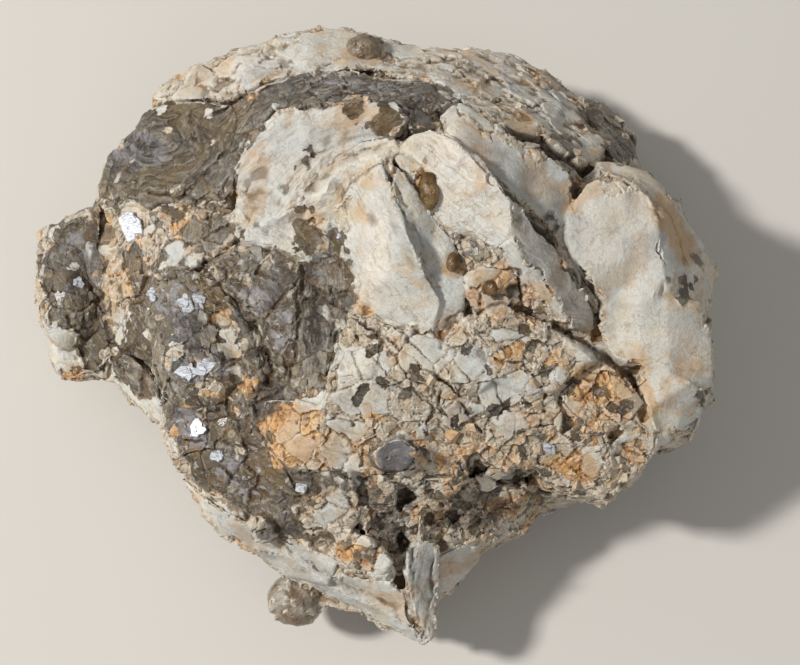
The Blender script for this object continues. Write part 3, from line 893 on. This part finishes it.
class Shader:
    """A material whose nodes are added by short calls. A socket given as a value is linked."""

    def __init__(self, name):
        self.material = bpy.data.materials.new(name)
        self.material.use_nodes = True
        self.tree = self.material.node_tree
        self.surface = self.tree.nodes["Principled BSDF"]
        self.place = self.node("TexCoord", {})["Object"]

    def node(self, kind, inputs, **settings):
        """The outputs of a new node of this kind, with its inputs fed."""
        node = self.tree.nodes.new("ShaderNode" + kind)
        for key, value in settings.items():
            setattr(node, key, value)
        for key, value in inputs.items():
            self.feed(node.inputs[key], value)
        return node.outputs

    def feed(self, socket, value):
        """Links or sets a socket. A tuple is a colour as it looks on screen."""
        if isinstance(value, bpy.types.NodeSocket):
            self.tree.links.new(value, socket)
        else:
            socket.default_value = srgb(*value) if isinstance(value, tuple) else value

    def scaled(self, scale, turn):
        """The place in mm, turned by these degrees and stretched."""
        turn = [math.radians(t) for t in turn]
        scale = [s / MM for s in scale]
        return self.node("Mapping", {"Vector": self.place, "Rotation": turn, "Scale": scale})["Vector"]

    def noise(self, vector, scale, detail=4.0, rough=0.55, distort=0.0):
        inputs = {"Scale": scale, "Detail": detail, "Roughness": rough, "Distortion": distort}
        return self.node("TexNoise", {"Vector": vector, **inputs})["Fac"]

    def warped(self, vector, scale, reach_mm):
        """The vector, pushed about by noise."""
        noise = self.node("TexNoise", {"Vector": vector, "Scale": scale, "Detail": 1})["Color"]
        return self.stretched(noise, [2 * reach_mm * MM] * 3, vector)

    def stretched(self, vector, stretch, start):
        """The vector times the stretch, added to the start."""
        return self.node("VectorMath", {0: vector, 1: stretch, 2: start}, operation="MULTIPLY_ADD")["Vector"]

    def cells(self, vector, size_mm):
        """Three random numbers for each cell of this size."""
        cell = self.node("TexVoronoi", {"Vector": vector, "Scale": 1 / (size_mm * MM)})["Color"]
        return self.node("SeparateColor", {0: cell})

    def edges(self, vector, size_mm):
        """The distance to the edge of each cell of this size, in cells."""
        inputs = {"Vector": vector, "Scale": 1 / (size_mm * MM)}
        return self.node("TexVoronoi", inputs, feature="DISTANCE_TO_EDGE")["Distance"]

    def attribute(self, name):
        return self.node("Attribute", {}, attribute_name=name)["Fac"]

    def math(self, operation, a, b=0.0, c=0.0):
        return self.node("Math", {0: a, 1: b, 2: c}, operation=operation)[0]

    def ramp(self, fac, *stops):
        """A colour ramp with stops of place, red, green and blue."""
        node = self.tree.nodes.new("ShaderNodeValToRGB")
        elements = node.color_ramp.elements
        while len(elements) < len(stops):
            elements.new(0.5)
        for element, (place, *colour) in zip(elements, stops):
            element.position = place
            element.color = srgb(*colour)
        self.feed(node.inputs["Fac"], fac)
        return node.outputs["Color"]

    def step(self, value, low, high):
        """From 0 where the value is low to 1 where it is high."""
        inputs = {"Value": value, "From Min": low, "From Max": high}
        return self.node("MapRange", inputs, interpolation_type="SMOOTHSTEP")["Result"]

    def mix(self, fac, a, b, blend="MIX"):
        return self.node("Mix", {0: fac, 6: a, 7: b}, data_type="RGBA", blend_type=blend)[2]

    def layer(self, under, weight, strength, over):
        """Lays a colour over another where this weight says, at this strength."""
        return self.mix(self.math("MULTIPLY", weight, strength), under, over)

    def washed(self, colour, *washes):
        """Lays thin colours over another. Each has a value, its low and high, a strength and a colour."""
        for value, low, high, strength, over in washes:
            colour = self.layer(colour, self.step(value, low, high), strength, over)
        return colour

    def bump(self, height, depth_mm, normal=None):
        inputs = {"Strength": 1.0, "Distance": depth_mm * MM, "Height": height}
        if normal is not None:
            inputs["Normal"] = normal
        return self.node("Bump", inputs)["Normal"]

    def finish(self, colour, roughness, normal, **settings):
        self.feed(self.surface.inputs["Base Color"], colour)
        self.feed(self.surface.inputs["Roughness"], roughness)
        if normal is not None:
            self.feed(self.surface.inputs["Normal"], normal)
        for key, value in settings.items():
            self.feed(self.surface.inputs[key.replace("_", " ")], value)
        return self.material


def mosaic(s):
    """What the rock's colours share: fine ragged grains, soft blotches and the fibres along the leaves."""
    jagged = s.warped(s.warped(s.place, 900, 0.8), 3500, 0.35)
    s.small = s.cells(jagged, SMALL_CELL_MM)
    s.small_edge = s.edges(jagged, SMALL_CELL_MM)
    s.tiny = s.cells(jagged, TINY_CELL_MM)
    s.blotch = s.noise(s.place, 170, 5, 0.6)
    s.cloud = s.noise(s.place, 60, 5, 0.6, 0.6)
    s.speck = s.noise(s.place, 1400, 4, 0.7)
    s.grit = s.noise(s.place, 3600, 3, 0.7)
    s.stain = s.noise(jagged, 320, 4, 0.6, 0.8)
    s.vein = s.math("ABSOLUTE", s.math("SUBTRACT", s.noise(jagged, 120, 3, 0.5), 0.5))
    s.rust, s.grey, s.warm, s.pale = (s.attribute(name) for name in ("rust", "grey", "warm", "pale"))
    s.lump, s.grain, s.bit = (s.attribute(name) for name in ("lump", "grain", "bit"))
    s.joint = s.math("MULTIPLY", s.attribute("joint"), s.step(s.noise(s.place, 240, 3, 0.5), 0.34, 0.56))
    across = s.node("CombineXYZ", {0: s.math("MULTIPLY", s.attribute("across"), MM)})[0]
    fibres = s.noise(s.stretched(s.place, [FIBRE_STRETCH] * 3, across), 1700, 5, 0.65)
    s.fibre = s.math("MULTIPLY_ADD", s.math("SUBTRACT", fibres, 0.5), s.attribute("clear"), 0.5)


def spar_colour(s):
    c = s.ramp(s.cloud, (0.35, 196, 196, 190), (0.5, 208, 204, 192), (0.65, 212, 198, 174))
    c = s.layer(c, s.warm, 0.6, (230, 214, 196))
    c = s.washed(
        c,
        (s.blotch, 0.52, 0.68, 0.5, (196, 174, 134)),
        (s.blotch, 0.48, 0.3, 0.5, (176, 174, 166)),
        (s.fibre, 0.51, 0.6, 0.45, (226, 224, 216)),
        (s.fibre, 0.49, 0.4, 0.6, (160, 148, 130)),
        (s.grit, 0.54, 0.7, 0.35, (228, 226, 220)),
        (s.speck, 0.44, 0.3, 0.4, (158, 146, 126)),
        (s.rust, 0.15, 0.8, 0.65, (194, 150, 92)),
        (s.vein, 0.012, 0.0, 0.5, (146, 112, 74)),
    )
    c = s.layer(c, s.pale, 0.4, (224, 221, 210))
    c = s.layer(c, s.grey, 0.5, (140, 136, 130))
    return s.layer(c, s.step(s.joint, 0.2, 0.7), 0.6, (96, 74, 52))


def crumb_colour(s):
    c = s.ramp(s.grain, (0.0, 112, 90, 66), (0.2, 178, 150, 110), (0.45, 204, 187, 156),
               (0.7, 222, 217, 204), (0.85, 198, 170, 130), (1.0, 148, 140, 128))
    c = s.mix(0.35, c, s.ramp(s.lump, (0.0, 148, 120, 86), (0.35, 204, 178, 138),
                              (0.7, 218, 210, 194), (1.0, 160, 154, 146)))
    c = s.mix(0.35, c, s.ramp(s.bit, (0.0, 96, 74, 50), (0.2, 176, 148, 110),
                              (0.6, 214, 200, 174), (1.0, 228, 223, 210)))
    c = s.mix(0.22, c, s.ramp(s.small[0], (0.0, 84, 64, 44), (0.4, 206, 190, 162), (1.0, 230, 224, 212)))
    c = s.mix(0.2, c, s.ramp(s.tiny[0], (0.0, 90, 68, 46), (1.0, 232, 224, 208)))
    c = s.washed(
        c,
        (s.blotch, 0.55, 0.7, 0.5, (178, 142, 96)),
        (s.grit, 0.45, 0.3, 0.4, (120, 94, 64)),
        (s.small_edge, 0.07, 0.0, 0.4, (106, 78, 50)),
    )
    return s.layer(c, s.step(s.joint, 0.2, 0.9), 0.7, (76, 58, 40))


def mica_colour(s):
    c = s.ramp(s.noise(s.place, 150, 6, 0.65, 1.0), (0.32, 56, 50, 44), (0.42, 94, 82, 64),
               (0.5, 124, 112, 90), (0.58, 106, 101, 98), (0.7, 150, 126, 84))
    c = s.mix(0.5, c, s.ramp(s.lump, (0.0, 48, 46, 48), (0.2, 116, 92, 58), (0.4, 98, 98, 102),
                             (0.6, 134, 118, 88), (0.8, 82, 72, 58), (0.93, 156, 150, 140),
                             (1.0, 208, 198, 176)))
    c = s.mix(0.35, c, s.ramp(s.grain, (0.0, 42, 38, 36), (0.3, 122, 102, 70), (0.55, 138, 138, 138),
                              (0.75, 96, 84, 66), (0.9, 176, 150, 104), (1.0, 214, 206, 186)))
    c = s.layer(c, s.grey, 0.6, (96, 95, 104))
    c = s.layer(c, s.warm, 0.55, (136, 112, 66))
    c = s.layer(c, s.step(s.rust, 0.4, 1.0), 0.5, (150, 112, 64))
    shining = s.math("MULTIPLY_ADD", s.pale, 1.2, s.math("MULTIPLY", s.grain, 0.8))
    c = s.washed(
        c,
        (shining, 0.9, 1.1, 0.55, (178, 178, 188)),
        (s.fibre, 0.51, 0.62, 0.6, (184, 178, 166)),
        (s.fibre, 0.49, 0.39, 0.75, (46, 40, 36)),
        (s.speck, 0.55, 0.7, 0.4, (196, 186, 164)),
        (s.speck, 0.45, 0.3, 0.5, (50, 43, 38)),
        (s.stain, 0.58, 0.68, 0.4, (150, 116, 72)),
        (s.stain, 0.42, 0.34, 0.5, (200, 190, 166)),
    )
    glint = s.math("MULTIPLY", s.step(s.tiny[1], 0.94, 0.95), s.step(s.blotch, 0.46, 0.54))
    glint = s.math("MAXIMUM", glint, s.step(s.small[1], 0.97, 0.975))
    c = s.layer(c, glint, s.math("MULTIPLY_ADD", s.attribute("smooth"), -0.6, 0.7), (206, 206, 206))
    c = s.layer(c, s.step(s.joint, 0.1, 0.9), 0.75, (44, 37, 30))
    shade = s.ramp(s.attribute("smooth"), (0.3, 232, 229, 224), (0.9, 206, 203, 198))
    return s.mix(1.0, c, shade, "MULTIPLY")


def rusted(s, colour, weight):
    stain = s.ramp(s.small[0], (0, 158, 100, 46), (0.5, 204, 148, 80), (1, 222, 182, 120))
    return s.layer(colour, weight, 0.85, stain)


def pegmatite_material():
    """The rock: pale feldspar, crumbly grains and brown mica, each where the mesh says it is."""
    s = Shader("pegmatite")
    mosaic(s)
    pick = s.math("MULTIPLY_ADD", s.small[1], 0.2, -0.1)
    pick = s.math("ADD", s.math("MULTIPLY_ADD", s.grain, 0.5, -0.25), pick)
    pick = s.math("MULTIPLY_ADD", s.blotch, 0.6, s.math("SUBTRACT", pick, 0.3))
    mica = s.step(s.math("MULTIPLY_ADD", pick, 0.4, s.attribute("mica")), 0.3, 0.7)
    smooth = s.attribute("smooth")
    spar = s.step(s.math("MULTIPLY_ADD", pick, -0.3, smooth), 0.35, 0.65)
    rust = s.step(s.math("MULTIPLY_ADD", s.rust, 1.1, s.math("MULTIPLY", pick, 0.9)), 0.35, 0.85)
    dark = s.step(s.math("ADD", s.attribute("dark"), pick), 0.4, 0.75)
    colour = s.mix(spar, rusted(s, crumb_colour(s), rust), spar_colour(s))
    colour = s.mix(mica, colour, mica_colour(s))
    hollow = s.math("MULTIPLY", s.attribute("hollow"), s.math("MULTIPLY_ADD", smooth, -0.35, 0.5))
    hollow = s.math("ADD", hollow, s.attribute("cavity"))
    hollow = s.math("MULTIPLY_ADD", s.blotch, 0.08, hollow)
    colour = s.layer(colour, s.step(hollow, 0.07, 0.3), 0.6, (100, 76, 50))
    sharp = s.step(s.attribute("cavity"), -0.02, -0.12)
    edge = s.math("MULTIPLY", sharp, s.math("MULTIPLY_ADD", mica, -0.2, 0.3))
    colour = s.layer(colour, edge, 1.0, (226, 222, 212))
    colour = s.layer(colour, s.attribute("stain"), 0.85, (66, 50, 36))
    colour = s.layer(colour, dark, 0.7, (58, 48, 42))
    bump = s.bump(s.noise(s.place, 800, 5, 0.7), 0.3)
    bump = s.bump(s.fibre, 0.3, bump)
    bump = s.bump(s.small[0], 0.1, bump)
    gloss = s.math("MULTIPLY_ADD", s.grain, 0.2, -0.42)
    roughness = s.math("MULTIPLY_ADD", mica, gloss, 0.64)
    return s.finish(colour, roughness, bump, Specular_IOR_Level=0.35)


def leaf_material():
    s = Shader("mica_leaves")
    mosaic(s)
    tint = s.attribute("tint")
    own = s.ramp(tint, (0.0, 62, 54, 46), (0.3, 112, 98, 80), (0.6, 140, 132, 118),
                 (0.8, 160, 134, 96), (1.0, 198, 192, 180))
    colour = s.layer(s.mix(0.5, mica_colour(s), own), s.attribute("dark"), 0.8, (56, 47, 40))
    bump = s.bump(s.noise(s.place, 900, 4, 0.65), 0.15)
    return s.finish(colour, s.math("MULTIPLY_ADD", tint, 0.2, 0.24), bump, IOR=1.58)


def grain_material():
    s = Shader("feldspar_grains")
    mosaic(s)
    own = s.ramp(s.attribute("tint"), (0.0, 120, 96, 70), (0.15, 184, 156, 116), (0.4, 212, 196, 168),
                 (0.7, 222, 216, 202), (0.85, 198, 156, 104), (1.0, 146, 138, 126))
    colour = rusted(s, s.mix(0.3, crumb_colour(s), own), s.math("MULTIPLY", s.rust, 0.8))
    colour = s.layer(colour, s.attribute("dark"), 0.8, (66, 52, 40))
    bump = s.bump(s.noise(s.place, 1200, 4, 0.65), 0.15)
    return s.finish(colour, 0.58, bump)


def silver_material():
    s = Shader("silver_mica")
    streak = s.noise(s.scaled((0.25, 1.6, 1.6), (0, 0, 35)), 1.6, 5, 0.6)
    colour = s.ramp(streak, (0.38, 150, 150, 152), (0.54, 214, 216, 220))
    bump = s.bump(streak, 0.025)
    return s.finish(colour, 0.46, bump, Metallic=0.35, IOR=1.58)


def quartz_material():
    s = Shader("smoky_quartz")
    cloud = s.noise(s.place, 260, 5, 0.65)
    colour = s.ramp(cloud, (0.35, 140, 112, 82), (0.5, 176, 160, 138), (0.65, 222, 214, 202))
    amber = s.ramp(cloud, (0.38, 84, 60, 26), (0.5, 126, 94, 48), (0.62, 170, 140, 90))
    colour = s.mix(s.attribute("tint"), colour, amber)
    bump = s.bump(s.noise(s.place, 700, 4, 0.6), 0.35)
    return s.finish(colour, 0.34, bump, IOR=1.54, Transmission_Weight=0.5)


# ---------------------------------------------------------------- the pieces

def dressed(mesh, name, material):
    """A piece of the looks, in place of the solid."""
    mesh.materials.clear()
    mesh.materials.append(material)
    mesh.name = name
    piece = linked(name, mesh)
    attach(piece, "root")
    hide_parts(NODE)
    return piece


def rock_piece(mesh, name, material, sunk_mm=0.0):
    """Breaks the mesh's surface and dresses it as rock."""
    fields = roughened(mesh, sunk_mm)
    for field, values in fields.items():
        store(mesh, field, values)
    store(mesh, "cavity", cavity(mesh, SHARP_ROUNDS))
    store(mesh, "hollow", cavity(mesh, BROAD_ROUNDS))
    return dressed(mesh, name, material)


def thinned_where_buried(mesh):
    """Spends the mesh's triangles where they show."""
    buried = np.array([deep_down(Vector(point), THINNED_BELOW_MM) for point in points_of(mesh)])
    obj = linked("full", mesh)
    group = obj.vertex_groups.new(name="buried")
    group.add([int(i) for i in np.nonzero(buried)[0]], 1.0, "REPLACE")
    decimate = obj.modifiers.new("thin", "DECIMATE")
    decimate.ratio = max(0.02, 1 - 0.97 * buried.mean())  # 3% of what is buried stays
    decimate.vertex_group = "buried"
    decimate.vertex_group_factor = 1000
    decimate.use_collapse_triangulate = True
    mesh = mesh_of(obj)
    mesh.calc_loop_triangles()
    return thinned(mesh) if len(mesh.loop_triangles) > PIECE_TRIANGLES else mesh


def grown_piece(name, blocks, lumps, material):
    """All of one mineral: its blocks and lumps, grown together and broken."""
    bm = bmesh.new()
    for face, drop, spread in blocks.values():
        add_block(bm, face, drop, spread)
    for lump in lumps.values():
        add_lump(bm, *lump)
    mesh = thinned_where_buried(grown_together(mesh_from(bm, name), VOXEL_MM))
    moved(mesh, stirred(averaged(mesh, WEAR_ROUNDS), 5 * MM, 0.6 * MM, 95))
    return rock_piece(mesh, name, material)


def base_piece(material):
    """The rock between the minerals, which follows the solid just under its surface."""
    mesh = thinned(grown_together(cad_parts[NODE].data.copy(), BASE_VOXEL_MM))
    return rock_piece(mesh, "groundmass", material, BASE_SUNK_MM)


def values_of(mesh, name):
    values = np.empty(len(mesh.vertices), dtype=np.float32)
    mesh.attributes[name].data.foreach_get("value", values)
    return values


# What a small piece takes over from the rock under it.
FIELDS = (*HIDDEN_FIELDS, "across", "clear", "lump", "grain", "bit", "joint")


def scattered(pieces, fits, count, rng):
    """Random places on the pieces whose minerals fit, with their normals and fields."""
    found = []
    for piece in pieces:
        mesh = piece.data
        fields = {name: values_of(mesh, name) for name in FIELDS}
        normals = normals_of(mesh)
        chosen = fits(fields) & (normals[:, 2] > -0.5)
        found.append(np.column_stack([points_of(mesh), normals, *fields.values()])[chosen])
    found = np.concatenate(found)
    picked = found[rng.choice(len(found), count, replace=False)]
    picked = picked[[not deep_down(Vector(row[:3])) for row in picked]]
    return picked[:, :3], picked[:, 3:6], dict(zip(FIELDS, picked[:, 6:].T))


def deep_down(place, buried_mm=BURIED_BELOW_MM):
    """Whether this place is deeper in the solid than that."""
    nearest, normal, _, _ = SOLID_TREE.find_nearest(place)
    return (nearest - place).dot(normal) > buried_mm * MM


def leaf_shape(rng):
    """A thin leaf of mica with an angular outline, one across and one thick."""
    sides = int(rng.integers(5, 8))
    turns = (np.arange(sides) + rng.uniform(-0.3, 0.3, sides)) * math.tau / sides
    reach = rng.uniform(0.65, 1.1, sides)
    across = np.column_stack([np.cos(turns), np.sin(turns) * rng.uniform(0.6, 1)]) * reach[:, None]
    upper = np.column_stack([across * 0.9, np.full(sides, 0.5)])
    lower = np.column_stack([across, np.full(sides, -0.5)])
    walls = [(i, i + sides, (i + 1) % sides + sides, (i + 1) % sides) for i in range(sides)]
    return np.concatenate([upper, lower]), [tuple(range(sides)), *walls]


def crystal_shape(rng):
    """A small broken block: the hull of a box whose corners are pushed about."""
    bm = bmesh.new()
    sides = np.array([1, rng.uniform(0.6, 1), rng.uniform(0.5, 0.8)])
    corners = np.array(list(np.ndindex(2, 2, 2))) * 2.0 - 1
    for corner in (corners + rng.uniform(-0.75, 0.55, (8, 3))) * sides:
        bm.verts.new(corner)
    bmesh.ops.convex_hull(bm, input=bm.verts)
    loose = [vert for vert in bm.verts if not vert.link_faces]
    bmesh.ops.delete(bm, geom=loose, context="VERTS")
    bm.verts.index_update()
    points = np.array([vert.co for vert in bm.verts])
    faces = [tuple(vert.index for vert in face.verts) for face in bm.faces]
    bm.free()
    return points, faces


def turned(axes, rng):
    """For each axis, three directions square to each other: the last along the axis."""
    z = axes / np.linalg.norm(axes, axis=1)[:, None]
    x = np.cross(rng.normal(0, 1, z.shape), z)
    x /= np.linalg.norm(x, axis=1)[:, None]
    return np.stack([x, np.cross(z, x), z], axis=1)


def strewn(name, shapes, places, axes, sizes, fields, material, rng):
    """One mesh of many small shapes, each put at its place, turned to its axis and scaled to its size."""
    verts, faces, owner = [], [], []
    total = 0
    for i, (place, turn, size) in enumerate(zip(places, turned(axes, rng), sizes)):
        shape, sides = shapes[int(rng.integers(len(shapes)))]
        verts.append(place + (shape * size) @ turn)
        faces += [tuple(total + k for k in side) for side in sides]
        owner += [i] * len(shape)
        total += len(shape)
    mesh = bpy.data.meshes.new(name)
    mesh.from_pydata(np.concatenate(verts).tolist(), [], faces)
    moved(mesh, points_of(mesh))
    for field, values in fields.items():
        store(mesh, field, values[owner])
    return dressed(mesh, name, material)


def tree_of(mesh):
    return BVHTree.FromPolygons([v.co for v in mesh.vertices], [tuple(p.vertices) for p in mesh.polygons])


def seen_at(trees, right, down):
    """The place and normal of what the eye sees here."""
    hits = [tree.ray_cast(EYE, at(right, down, 0) - EYE) for tree in trees]
    place, normal, _, _ = min((hit for hit in hits if hit[0]), key=lambda hit: hit[3])
    return place, normal


def lie_of_surface(trees, right, down, radius):
    """The middle of a flat leaf that rests on the surface here, and the way that it faces."""
    turns = np.arange(18) * 2.4
    reaches = radius * np.sqrt(np.arange(18) / 18)
    seen = [seen_at(trees, right + r * math.cos(t), down + r * math.sin(t)) for t, r in zip(turns, reaches)]
    places, normals = np.array([s[0] for s in seen]), np.array([s[1] for s in seen])
    middle, facing = places.mean(axis=0), normals.mean(axis=0)
    facing /= np.linalg.norm(facing)
    return middle + facing * np.percentile((places - middle) @ facing, 95), facing


def off_the_edge(normals, places):
    """The places that aren't low down or on the lump's outline, where a loose piece would stick out."""
    return (normals @ np.array(SIGHT) < FACING_THE_EYE) & (places[:, 2] > LOW_DOWN_MM * MM)


def leafy(fields):
    return (fields["mica"] > 0.6) & (fields["smooth"] < 0.5)


def crumbly(fields):
    return (fields["mica"] < 0.4) & (fields["smooth"] < 0.3)


def mica_leaves(pieces, material):
    """Leaves of mica that lie in the surface of the mica like scales."""
    rng = np.random.default_rng(LEAF_SEED)
    shapes = [leaf_shape(rng) for _ in range(30)]
    places, normals, fields = scattered(pieces, leafy, LEAF_COUNT, rng)
    count = len(places)
    radius = 0.5 + rng.gamma(1.5, 0.4, count)  # in mm, most of them small
    radius = np.where(off_the_edge(normals, places), radius, 0.6)
    axes = normals + rng.normal(0, 0.1, (count, 3))
    sizes = np.column_stack([radius, radius, rng.uniform(0.2, 0.4, count)]) * MM
    places = places - normals * rng.uniform(0.0, 0.25, count)[:, None] * MM
    fields = {**fields, "tint": rng.random(count), "joint": np.zeros(count)}
    strewn("mica_leaves", shapes, places, axes, sizes, fields, material, rng)


def feldspar_grains(pieces, material):
    """Small cleaved blocks packed into the crumbly parts."""
    rng = np.random.default_rng(GRAIN_SEED)
    shapes = [crystal_shape(rng) for _ in range(40)]
    places, normals, fields = scattered(pieces, crumbly, GRAIN_COUNT, rng)
    count = len(places)
    size = 0.35 + rng.gamma(2.0, 0.14, count)  # in mm, most of them small
    size = np.where(off_the_edge(normals, places), size, 0.35)
    axes = normals + rng.normal(0, 0.4, (count, 3))
    places = places - normals * (size * 0.3)[:, None] * MM
    fields = {**fields, "tint": rng.random(count), "joint": np.zeros(count)}
    sizes = np.repeat(size[:, None], 3, 1) * MM
    strewn("feldspar_grains", shapes, places, axes, sizes, fields, material, rng)


def silver_flakes(pieces, material):
    """The larger leaves that catch the light."""
    rng = np.random.default_rng(FLAKE_SEED)
    glint = np.array((-KEY_TRAVEL.normalized() - SIGHT).normalized())
    trees = [tree_of(piece.data) for piece in pieces]
    places, axes, sizes = [], [], []
    for right, down, radius in SILVER_FLAKES:
        place, facing = lie_of_surface(trees, right, down, 0.9 * radius)
        width = 1.3 * radius * SKETCH_MM
        for layer in range(FLAKE_LAYERS):
            aside = rng.normal(0, 0.25, 3) * width * (layer > 0)
            places.append(place + facing * 0.15 * MM * (layer + 1) + aside - facing * (aside @ facing))
            axes.append(glint * 0.2 + facing + rng.normal(0, 0.03, 3))
            sizes.append([width * (1.05 - 0.25 * layer), width * (1.0 - 0.3 * layer), 0.25 * MM])
    fields = {"tint": rng.random(len(places))}
    shapes = [leaf_shape(rng) for _ in range(9)]
    strewn("silver_flakes", shapes, np.array(places), np.array(axes), np.array(sizes), fields, material, rng)


def nodules(material):
    bm = bmesh.new()
    for lump in QUARTZ_LUMPS.values():
        add_lump(bm, *lump)
    mesh = grown_together(mesh_from(bm, "quartz"), VOXEL_MM)
    points, normals = points_of(mesh), normals_of(mesh)
    store(mesh, "tint", smooth_step(points[:, 2], 30 * MM, 70 * MM))
    height = 0.5 * rough(points, 4 * MM, 2, 50) + 0.25 * facets(points, 2.2, 51, 1.2)[0]
    moved(mesh, points + normals * height[:, None] * MM)
    return dressed(mesh, "quartz_nodules", material)


# ---------------------------------------------------------------- the stage

def add_floor():
    bm = bmesh.new()
    bmesh.ops.create_grid(bm, x_segments=1, y_segments=1, size=FLOOR_REACH)
    mesh = mesh_from(bm, "floor")
    floor = linked("floor", mesh)
    s = Shader("floor")
    colour = s.ramp(s.noise(s.place, 3, 2), (0.0, 206, 200, 190), (1.0, 212, 206, 197))
    mesh.materials.append(s.finish(colour, 0.9, None))


def add_light(name, travel, strength, size):
    """A square soft light that shines this way on the lump."""
    light = bpy.data.lights.new(name, "AREA")
    light.energy = strength
    light.size = size
    lamp = linked(name, light)
    way = travel.normalized()
    lamp.location = TARGET - way * LAMP_DISTANCE
    lamp.rotation_mode = "QUATERNION"
    lamp.rotation_quaternion = way.to_track_quat("-Z", "Y")


def add_world():
    world = bpy.data.worlds.new("studio")
    world.use_nodes = True
    background = world.node_tree.nodes["Background"]
    background.inputs["Color"].default_value = SKY_COLOUR
    background.inputs["Strength"].default_value = SKY_STRENGTH
    bpy.context.scene.world = world


def add_camera():
    data = bpy.data.cameras.new("camera")
    data.sensor_width = SENSOR_MM
    data.lens = SENSOR_MM * EYE_DISTANCE / (SKETCH_SIZE[0] * SKETCH_MM)
    data.clip_start = 0.01
    camera = linked("camera", data)
    camera.location = EYE
    camera.rotation_mode = "QUATERNION"
    camera.rotation_quaternion = SIGHT.to_track_quat("-Z", "Y")
    bpy.context.scene.camera = camera


add_camera()
add_floor()
add_light("key", KEY_TRAVEL, *KEY_LIGHT)
add_light("fill", FILL_TRAVEL, *FILL_LIGHT)
add_world()
bpy.context.scene.view_settings.view_transform = "Standard"

SOLID_TREE = tree_of(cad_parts[NODE].data)
rock = pegmatite_material()
pieces = [
    base_piece(rock),
    grown_piece("feldspar_slabs", FELDSPAR_BLOCKS, FELDSPAR_LUMPS, rock),
    grown_piece("granular_masses", GRANULAR_BLOCKS, {}, rock),
    grown_piece("mica_masses", MICA_BLOCKS, MICA_LUMPS, rock),
]
mica_leaves(pieces, leaf_material())
feldspar_grains(pieces, grain_material())
silver_flakes(pieces, silver_material())
nodules(quartz_material())
